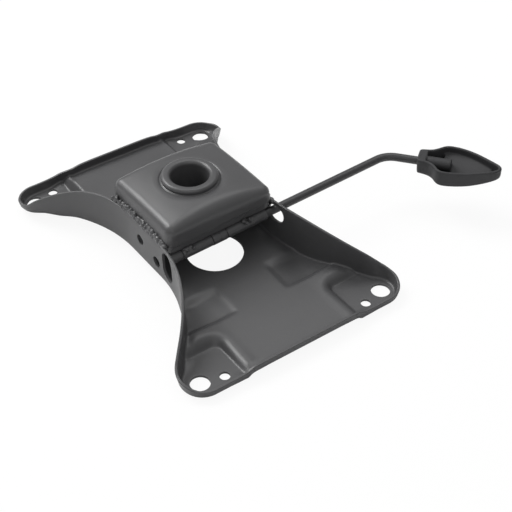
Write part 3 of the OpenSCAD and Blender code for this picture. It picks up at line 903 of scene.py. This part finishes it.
class SEATMECH_OT_housing(Operator):
    """Makes the drawn housing with its crowned top and the dish round the socket"""

    bl_idname = "seatmech.housing"
    bl_label = "Column Housing"

    def execute(self, context):
        h = Sizes(settings().housing)
        points, normals = rounded_box(h.back, h.front, h.half_w, h.corner)
        ahead = np.clip(normals[:, 0], 0, 1) ** 2
        behind = np.clip(-normals[:, 0], 0, 1) ** 2
        inner_w = h.half_w - h.corner
        middle = np.clip(1 - (points[:, 1] / inner_w) ** 2, 0, 1)
        bend = h.side_bend + middle * (
            (h.front_bend - h.side_bend) * ahead ** BEND_POWER
            + (h.rear_bend - h.side_bend) * behind ** BEND_POWER
        )
        lean = np.radians(h.lean * (1 - LEAN_LESS_FRONT * ahead - LEAN_LESS_REAR * behind))
        over_rod = h.front_skirt + points[:, 1] * ROD_SLOPE
        skirt = h.skirt + (over_rod - h.skirt) * smooth(ahead * SKIRT_GAIN)

        def height(x, y):
            away = np.hypot(x - SOCKET_AT[0], y)
            crown = h.top - y * y / (2 * h.crown) - (x - CROWN_X) ** 2 / (2 * h.length_crown)
            groove = h.groove * np.exp(-((away - h.groove_r) / GROOVE_W) ** 2)
            return -(crown + (h.seat - crown) * ease_out(away, *DISH) - groove)

        # The housing is pressed as a pan, mouth up, and then turned over.
        rings = np.concatenate([ring(SOCKET_AT, r, DISH_SIDES) for r in DISH_ROWS])
        verts, faces = pressed_shell(
            points, normals, bend, lean, -skirt, height, h.sheet, [SOCKET_HOLE],
            HOUSING_GRID, HOUSING_EDGE, HOUSING_ROWS, rings,
        )
        verts[:, 2] *= -1.0
        level = verts[:, 2] - verts[:, 1] * ROD_SLOPE
        low = ease_out(level, h.front_skirt + JOGGLE_TOP, JOGGLE_RUN)
        verts[:, 0] -= h.joggle * (low * ease_in(verts[:, 0], *JOGGLE_FROM))
        piece = add_piece("drawn_housing", verts, [f[::-1] for f in faces])
        finish_piece(piece, coat_of("sheet"), "plate", "coated_sheet", "column_housing")
        return {"FINISHED"}


# Welds

LUMP_INPUTS = (
    ("Pitch", "NodeSocketFloat"), ("Lump", "NodeSocketFloat"), ("Scatter", "NodeSocketFloat"),
    ("Seed", "NodeSocketInt"), ("Finish", "NodeSocketMaterial"),
)
LUMP_LEAST, LUMP_MOST = (0.7, 0.7, 0.55), (1.3, 1.25, 1.1)
WELD_ROUNDS, WELD_SHARP = 7, 180.0

# The bead along a wall: its run, its bow away from the housing and its dip at the front
BEAD_X = (-42.0, 28.0, 1.5)
BEAD_Y, BOW_FROM, BOW_R, BOW_SHARE = 46.3, 18.5, 106.0, 0.55
BEAD_Z, DIP_FROM, DIP, DIP_POWER = 41.2, 18.0, 0.06, 1.6
SECOND_IN, SECOND_UP, SECOND_PART = 0.9, 1.3, slice(3, -2)
BEAD_SEED = 3

# The tacks: side, y and seed, and two rows of points as x and offsets in y and z
TACKS = (("left", -27.7, 20), ("right", 22.1, 31))
TACK_Z, TACK_LUMP = 35.1, 1.4
TACK_ROWS = (
    ((30.6, -4.2, -0.4), (30.2, 0.0, 0.3), (30.6, 3.8, -0.3)),
    ((32.2, -3.0, -1.4), (32.0, 0.6, -1.0), (32.3, 3.0, -1.6)),
)


def lump_tree():
    """Geometry Nodes that lay uneven lumps along a path."""
    tree = bpy.data.node_groups.new("weld_lumps", "GeometryNodeTree")
    face, make, link = tree.interface, tree.nodes.new, tree.links.new
    face.new_socket("Geometry", in_out="INPUT", socket_type="NodeSocketGeometry")
    for label, kind in LUMP_INPUTS:
        face.new_socket(label, in_out="INPUT", socket_type=kind)
    face.new_socket("Geometry", in_out="OUTPUT", socket_type="NodeSocketGeometry")
    into = make("NodeGroupInput")
    out = make("NodeGroupOutput")
    path = make("GeometryNodeMeshToCurve")
    even = make("GeometryNodeResampleCurve")
    even.mode = "LENGTH"
    stray = make("FunctionNodeRandomValue")
    stray.data_type = "FLOAT_VECTOR"
    for end, sign in enumerate((-1, 1)):
        limit = make("ShaderNodeVectorMath")
        limit.operation = "SCALE"
        limit.inputs[0].default_value = (sign, sign, sign)
        link(into.outputs["Scatter"], limit.inputs["Scale"])
        link(limit.outputs["Vector"], stray.inputs[end])
    move = make("GeometryNodeSetPosition")
    ball = make("GeometryNodeMeshIcoSphere")
    ball.inputs["Subdivisions"].default_value = 2
    size = make("FunctionNodeRandomValue")
    size.data_type = "FLOAT_VECTOR"
    size.inputs[0].default_value = LUMP_LEAST
    size.inputs[1].default_value = LUMP_MOST
    lay = make("GeometryNodeInstanceOnPoints")
    real = make("GeometryNodeRealizeInstances")
    paint = make("GeometryNodeSetMaterial")
    chain = (into, path, even, move, lay, real, paint, out)
    for first, then in zip(chain, chain[1:]):
        link(first.outputs[0], then.inputs[0])
    link(into.outputs["Pitch"], even.inputs["Length"])
    link(into.outputs["Seed"], stray.inputs["Seed"])
    link(into.outputs["Seed"], size.inputs["Seed"])
    link(stray.outputs[0], move.inputs["Offset"])
    link(into.outputs["Lump"], ball.inputs["Radius"])
    link(ball.outputs["Mesh"], lay.inputs["Instance"])
    link(size.outputs[0], lay.inputs["Scale"])
    link(into.outputs["Finish"], paint.inputs["Material"])
    return tree


def lay_weld(name, paths, lump, seed, node_name):
    """A bead of melted lumps along one or more paths, in millimetres."""
    w = Sizes(settings().weld)
    verts, edges = [], []
    for path in paths:
        base = len(verts)
        verts += [tuple(Vector(q) * MM) for q in path]
        edges += [(base + i, base + i + 1) for i in range(len(path) - 1)]
    mesh = bpy.data.meshes.new(name)
    mesh.from_pydata(verts, edges, [])
    piece = link_new(name, mesh)
    tree = bpy.data.node_groups.get("weld_lumps") or lump_tree()
    ids = {s.name: s.identifier for s in tree.interface.items_tree if s.in_out == "INPUT"}
    lumps = piece.modifiers.new("Lumps", "NODES")
    lumps.node_group = tree
    lumps[ids["Pitch"]] = w.pitch * MM
    lumps[ids["Lump"]] = lump * MM
    lumps[ids["Scatter"]] = w.scatter * MM
    lumps[ids["Seed"]] = w.seed + seed
    lumps[ids["Finish"]] = coat_of("weld")
    freeze(piece)
    melt(piece, w.grain, WELD_ROUNDS)
    freeze(piece)
    shade(piece.data, WELD_SHARP)
    finish_piece(piece, coat_of("weld"), "plate", "coated_weld", node_name)


def bead_path(side):
    """Points along the bead on one wall."""
    path = []
    for x in np.arange(*BEAD_X):
        run = max(0.0, -x - BOW_FROM)
        gap = BOW_R - math.sqrt(BOW_R ** 2 - run ** 2)
        z = BEAD_Z - DIP * max(0.0, x - DIP_FROM) ** DIP_POWER
        path.append((x, side * (BEAD_Y + gap * BOW_SHARE), z))
    return path


class SEATMECH_OT_welds(Operator):
    """Lays the beads along both walls and the tacks that hold the sleeves"""

    bl_idname = "seatmech.welds"
    bl_label = "Welds"

    def execute(self, context):
        lump = Sizes(settings().weld).lump
        for side, word in ((-1, "left"), (1, "right")):
            path = bead_path(side)
            second = [(x, y - side * SECOND_IN, z + SECOND_UP) for x, y, z in path[SECOND_PART]]
            seed, node_name = BEAD_SEED + side, "housing_weld_" + word
            lay_weld("weld_bead_" + word, [path, second], lump, seed, node_name)
        repaint("socket_weld", coat_of("weld"))
        for word, y, seed in TACKS:
            z = TACK_Z + y * ROD_SLOPE
            paths = [[(x, y + dy, z + dz) for x, dy, dz in row] for row in TACK_ROWS]
            lay_weld("tack_weld_" + word, paths, TACK_LUMP, seed, "sleeve_tack_" + word)
        return {"FINISHED"}


# Socket, sleeves and lever

SOCKET_EASE = 0.3

# Turned and bent pieces: node, body, slot and width of the eased edges
EASED = (
    ("bearing_sleeve_left", "plate", "coated_bar", 0.8),
    ("bearing_sleeve_right", "plate", "coated_bar", 0.8),
    ("end_collar", "lever", "coated_bar", 0.8),
    ("arm_collar", "lever", "coated_bar", 0.8),
    ("release_arm", "lever", "coated_sheet", 0.6),
)


class SEATMECH_OT_socket(Operator):
    """Finishes the tapered socket and its rolled lip"""

    bl_idname = "seatmech.socket"
    bl_label = "Column Socket"

    def execute(self, context):
        piece = softened("taper_socket", SOCKET_EASE)
        finish_piece(piece, coat_of("sheet"), "plate", "coated_bar", "taper_socket")
        return {"FINISHED"}


class SEATMECH_OT_lever(Operator):
    """Finishes the rod, its sleeves, its collars and the release arm"""

    bl_idname = "seatmech.lever"
    bl_label = "Release Lever"

    def execute(self, context):
        repaint("lever_rod", coat_of("bar"))
        for name, body, slot, width in EASED:
            finish_piece(softened(name, width), coat_of("sheet"), body, slot, name)
        return {"FINISHED"}


# Handle, in its own U along the rod from the neck, V across and W up

HANDLE_AT = (48.4, 170.1, 36.4)
HANDLE_NEAR = (
    (0.0, -7.5), (6.7, -7.8), (10.0, -8.7), (12.8, -10.8), (15.0, -14.3), (17.0, -16.8),
    (20.0, -18.1), (24.0, -18.3), (30.0, -17.7), (36.0, -16.8), (42.1, -15.4), (49.0, -12.9),
    (56.0, -9.8), (61.4, -6.8), (64.2, -3.6),
)
HANDLE_FAR = (
    (64.7, -1.0), (63.4, 1.3), (60.2, 3.6), (54.0, 7.2), (45.8, 11.8), (37.5, 15.3),
    (29.5, 17.2), (25.0, 17.7), (21.5, 17.6), (18.3, 16.4), (15.5, 13.9), (13.0, 11.5),
    (10.0, 9.7), (6.7, 8.8), (0.0, 8.0),
)
OUTLINE_PITCH, OUTLINE_ROUNDS = 0.9, 9
HANDLE_GRID, HANDLE_EDGE, HANDLE_ROWS, HANDLE_SHARP = 1.6, 0.8, 5, 50.0
BELLY_U, DRAFT = 18.0, 2.0
NECK_U, NECK_HALF, NECK_UP, NECK_DOWN = 1.0, 6.6, 1.6, 0.2
BLOCK_FACES = ((0, 1, 3, 2), (4, 6, 7, 5), (0, 4, 5, 1), (2, 3, 7, 6), (0, 2, 6, 4), (1, 5, 7, 3))
SLOPE_U = (19.0, 58.0, 1.5)
SLOPE_V, SLOPE_TURN, SLOPE_IN, SLOPE_UP = -11.0, 0.2, 1.3, 1.0
TUBE_FROM, DRILL_FROM, BAR_SIDES = 5.0, -3.0, 40
HANDLE_ROUNDS, HANDLE_KEPT = 8, 0.45


def even_loop(corners, step, rounds):
    """Even points and normals along a closed outline whose corners are rounded off."""
    closed = np.vstack([corners, corners[:1]])
    at = np.concatenate([[0.0], np.cumsum(np.linalg.norm(np.diff(closed, axis=0), axis=1))])
    along = np.arange(0.0, at[-1], at[-1] / round(at[-1] / step))
    points = np.stack([np.interp(along, at, closed[:, k]) for k in (0, 1)], axis=1)
    for _ in range(rounds):
        points = evened(points)
    run = np.roll(points, -1, axis=0) - np.roll(points, 1, axis=0)
    normals = np.stack([run[:, 1], -run[:, 0]], axis=1)
    return points, normals / np.linalg.norm(normals, axis=1)[:, None]


def bar_along(radius, start, end):
    """Points and faces of a round bar along U."""
    loop = ring((0.0, 0.0), radius, BAR_SIDES)
    verts = np.vstack([np.column_stack([np.full(BAR_SIDES, u), loop]) for u in (start, end)])
    faces = [tuple(range(BAR_SIDES))[::-1], tuple(range(BAR_SIDES, 2 * BAR_SIDES))]
    for a in range(BAR_SIDES):
        b = (a + 1) % BAR_SIDES
        faces.append((a, b, BAR_SIDES + b, BAR_SIDES + a))
    return verts, faces


def inner_slope(h, height):
    """Points and faces of the slope inside the handle, from the floor up to its far wall."""
    verts = []
    far_u, far_v = np.array(HANDLE_FAR[::-1]).T
    for u in np.arange(*SLOPE_U):
        v = float(np.interp(u, far_u, far_v)) - SLOPE_IN
        w = float(height(u, 0.0)) + SLOPE_UP
        foot = SLOPE_V + (u - SLOPE_U[0]) * SLOPE_TURN
        verts += [(u, foot, w), (u, v, w), (u, v, h.rim - h.rib)]
    last = len(verts) - 3
    faces = [(2, 1, 0), (last, last + 1, last + 2)]
    for k in range(0, last, 3):
        faces += [(k + a, k + b, k + b + 3, k + a + 3) for a, b in ((0, 1), (1, 2), (2, 0))]
    return np.array(verts), faces


def neck_block(h):
    """Points and faces of the solid neck."""
    ends = [
        (u, v, w)
        for u in (NECK_U, h.block)
        for v in (-NECK_HALF, NECK_HALF)
        for w in (h.rim - h.deep + NECK_UP, h.rim - NECK_DOWN)
    ]
    return np.array(ends), BLOCK_FACES


def on_lever(verts):
    """From the handle's own U, V and W to the frame, in millimetres."""
    slope, turn = math.radians(ROD_RISE), math.radians(ROD_TURN)
    along = (math.sin(turn), math.cos(turn) * math.cos(slope), math.cos(turn) * math.sin(slope))
    up = (0.0, -math.sin(slope), math.cos(slope))
    across = np.cross(up, along)
    return np.array(HANDLE_AT) + verts @ np.array([along, across, up])


class SEATMECH_OT_handle(Operator):
    """Moulds the hollow handle with its neck and the tube on the rod"""

    bl_idname = "seatmech.handle"
    bl_label = "Handle"

    def execute(self, context):
        h = Sizes(settings().handle)
        outline = np.array(HANDLE_NEAR + HANDLE_FAR)
        points, normals = even_loop(outline, OUTLINE_PITCH, OUTLINE_ROUNDS)
        same = np.ones(len(points))

        def height(u, v):
            return h.rim - h.deep + (u - BELLY_U) ** 2 / (2 * h.belly)

        verts, faces = pressed_shell(
            points, normals, same * h.bend, same * math.radians(DRAFT), same * h.rim, height,
            h.wall, [], HANDLE_GRID, HANDLE_EDGE, HANDLE_ROWS,
        )
        tube = bar_along(h.tube / 2, TUBE_FROM, h.tube_len)
        for more, sides in (neck_block(h), inner_slope(h, height), tube):
            faces += [tuple(i + len(verts) for i in face) for face in sides]
            verts = np.vstack([verts, more])
        piece = add_piece("moulded_handle", on_lever(verts), faces)
        melt(piece, h.grain, HANDLE_ROUNDS)
        fewer = piece.modifiers.new("Fewer", "DECIMATE")
        fewer.ratio = HANDLE_KEPT
        freeze(piece)
        bar, sides = bar_along(h.bore / 2, DRILL_FROM, h.bore_len)
        cut_away(piece, add_piece("drill", on_lever(bar), sides))
        shade(piece.data, HANDLE_SHARP)
        finish_piece(piece, coat_of("plastic"), "lever", "handle_plastic", "lever_handle")
        return {"FINISHED"}


# Stage, in metres

FLOOR_HALF, FLOOR_DROP = 6, -0.0002
FLOOR_TONE, FLOOR_GLOW = 0.86, 0.91
SKY_LOW, SKY_HIGH = 0.24, 0.62
LAMP_AIM = (0, 0, 0.03)

# Lamps: name, place, size and power in watts
LAMPS = (
    ("top", (-0.5, 0.8, 2.0), 1.2, 8.0),
    ("back", (-1.7, -0.48, 2.0), 1.4, 46.0),
    ("side", (-1.7, -1.3, 1.6), 1.2, 13.0),
    ("fill", (1.8, -1.0, 1.5), 1.8, 5.0),
)
CAMERA_AT = (0.547362, -0.338751, 0.550286)
CAMERA_TURN, CAMERA_TILT = 54.517, 41.08  # degrees
SENSOR, FOCAL_PX, PHOTO_PX = 36.0, 1122.452, 512.0


def grey(tone):
    """A grey colour with full alpha."""
    return (tone, tone, tone, 1)


def add_lamp(name, location, size, power):
    """A round area lamp that points at the part."""
    lamp = bpy.data.lights.new(name, "AREA")
    lamp.shape = "DISK"
    lamp.size = size
    lamp.energy = power
    holder = link_new(name, lamp)
    holder.location = location
    towards = Vector(LAMP_AIM) - Vector(location)
    holder.rotation_euler = towards.to_track_quat("-Z", "Y").to_euler()


def pale_floor():
    """A matt floor that the camera sees as near white, with its shadow kept."""
    pale = bpy.data.materials.new("pale_floor")
    pale.use_nodes = True
    tree = pale.node_tree
    tree.nodes.clear()
    link = tree.links.new
    out = node(tree, "ShaderNodeOutputMaterial", (600, 0))
    matt = node(tree, "ShaderNodeBsdfDiffuse", (0, 100), Color=grey(FLOOR_TONE))
    glow = node(tree, "ShaderNodeEmission", (0, -100))
    seen = node(tree, "ShaderNodeLightPath", (-400, 200))
    share = node(tree, "ShaderNodeMath", (-150, 260))
    share.operation = "MULTIPLY"
    share.inputs[1].default_value = FLOOR_GLOW
    mix = node(tree, "ShaderNodeMixShader", (300, 0))
    link(seen.outputs["Is Camera Ray"], share.inputs[0])
    link(share.outputs["Value"], mix.inputs["Fac"])
    link(matt.outputs["BSDF"], mix.inputs[1])
    link(glow.outputs["Emission"], mix.inputs[2])
    link(mix.outputs["Shader"], out.inputs["Surface"])
    return pale


def soft_world():
    """A studio world that is brighter overhead."""
    world = bpy.data.worlds.new("soft_studio")
    world.use_nodes = True
    tree = world.node_tree
    sky = tree.nodes["Background"]
    sky.inputs["Strength"].default_value = 1.0
    where = node(tree, "ShaderNodeTexCoord", (-900, 0))
    parts = node(tree, "ShaderNodeSeparateXYZ", (-700, 0))
    fade = node(tree, "ShaderNodeValToRGB", (-450, 0))
    for end, tone in zip(fade.color_ramp.elements, (SKY_LOW, SKY_HIGH)):
        end.color = grey(tone)
    tree.links.new(where.outputs["Generated"], parts.inputs["Vector"])
    tree.links.new(parts.outputs["Z"], fade.inputs["Fac"])
    tree.links.new(fade.outputs["Color"], sky.inputs["Color"])
    return world


def photo_camera():
    """The camera at the photo's angle."""
    eye = bpy.data.cameras.new("camera")
    eye.sensor_width = SENSOR
    eye.lens = FOCAL_PX / PHOTO_PX * SENSOR
    eye.clip_start, eye.clip_end = 0.02, 40.0
    turn, tilt = math.radians(CAMERA_TURN), math.radians(CAMERA_TILT)
    back = Vector((
        math.sin(turn) * math.cos(tilt), -math.cos(turn) * math.cos(tilt), math.sin(tilt)
    ))
    holder = link_new("camera", eye)
    holder.location = CAMERA_AT
    holder.rotation_euler = (-back).to_track_quat("-Z", "Y").to_euler()
    return holder


class SEATMECH_OT_stage(Operator):
    """Makes the pale floor, the soft light and the camera"""

    bl_idname = "seatmech.stage"
    bl_label = "Stage"

    def execute(self, context):
        scene = context.scene
        scene.view_settings.view_transform = "Standard"
        mesh = bpy.data.meshes.new("floor")
        corners = [(x * FLOOR_HALF, y * FLOOR_HALF, 0) for x, y in CORNERS]
        mesh.from_pydata(corners, [], [(0, 2, 3, 1)])
        floor = link_new("floor", mesh)
        floor.location = (0, 0, FLOOR_DROP)
        floor.data.materials.append(pale_floor())
        scene.world = soft_world()
        for lamp in LAMPS:
            add_lamp(*lamp)
        scene.camera = photo_camera()
        return {"FINISHED"}


class SEATMECH_PT_sidebar(Panel):
    """Lists the pieces and their sizes"""

    bl_label = "Seat Mechanism"
    bl_idname = "SEATMECH_PT_sidebar"
    bl_space_type = "VIEW_3D"
    bl_region_type = "UI"
    bl_category = "Seat Mechanism"

    def draw(self, context):
        for made in OPERATORS:
            self.layout.operator(made.bl_idname)
        chosen = settings()
        for group in (
            chosen.plate, chosen.housing, chosen.weld, chosen.handle, chosen.finish,
        ):
            box = self.layout.box()
            for key in group.__annotations__:
                box.prop(group, key)


OPERATORS = (
    SEATMECH_OT_stage, SEATMECH_OT_plate, SEATMECH_OT_housing, SEATMECH_OT_socket,
    SEATMECH_OT_welds, SEATMECH_OT_lever, SEATMECH_OT_handle,
)
GROUPS = (
    PlateSizes, HousingSizes, WeldSizes, HandleSizes, FinishColours, MechanismSettings,
)
CLASSES = GROUPS + OPERATORS + (SEATMECH_PT_sidebar,)


def register():
    """Registers the classes and the scene's settings."""
    for made in CLASSES:
        bpy.utils.register_class(made)
    bpy.types.Scene.seat_mechanism = group_of(
        "Seat mechanism", MechanismSettings, "Settings of the seat mechanism"
    )


def unregister():
    """Takes the settings and the classes out again."""
    del bpy.types.Scene.seat_mechanism
    for made in reversed(CLASSES):
        bpy.utils.unregister_class(made)


def main():
    """Makes the stage and all pieces."""
    register()
    bpy.ops.seatmech.stage()
    bpy.ops.seatmech.plate()
    bpy.ops.seatmech.housing()
    bpy.ops.seatmech.socket()
    bpy.ops.seatmech.welds()
    bpy.ops.seatmech.lever()
    bpy.ops.seatmech.handle()


if __name__ == "__main__":
    main()
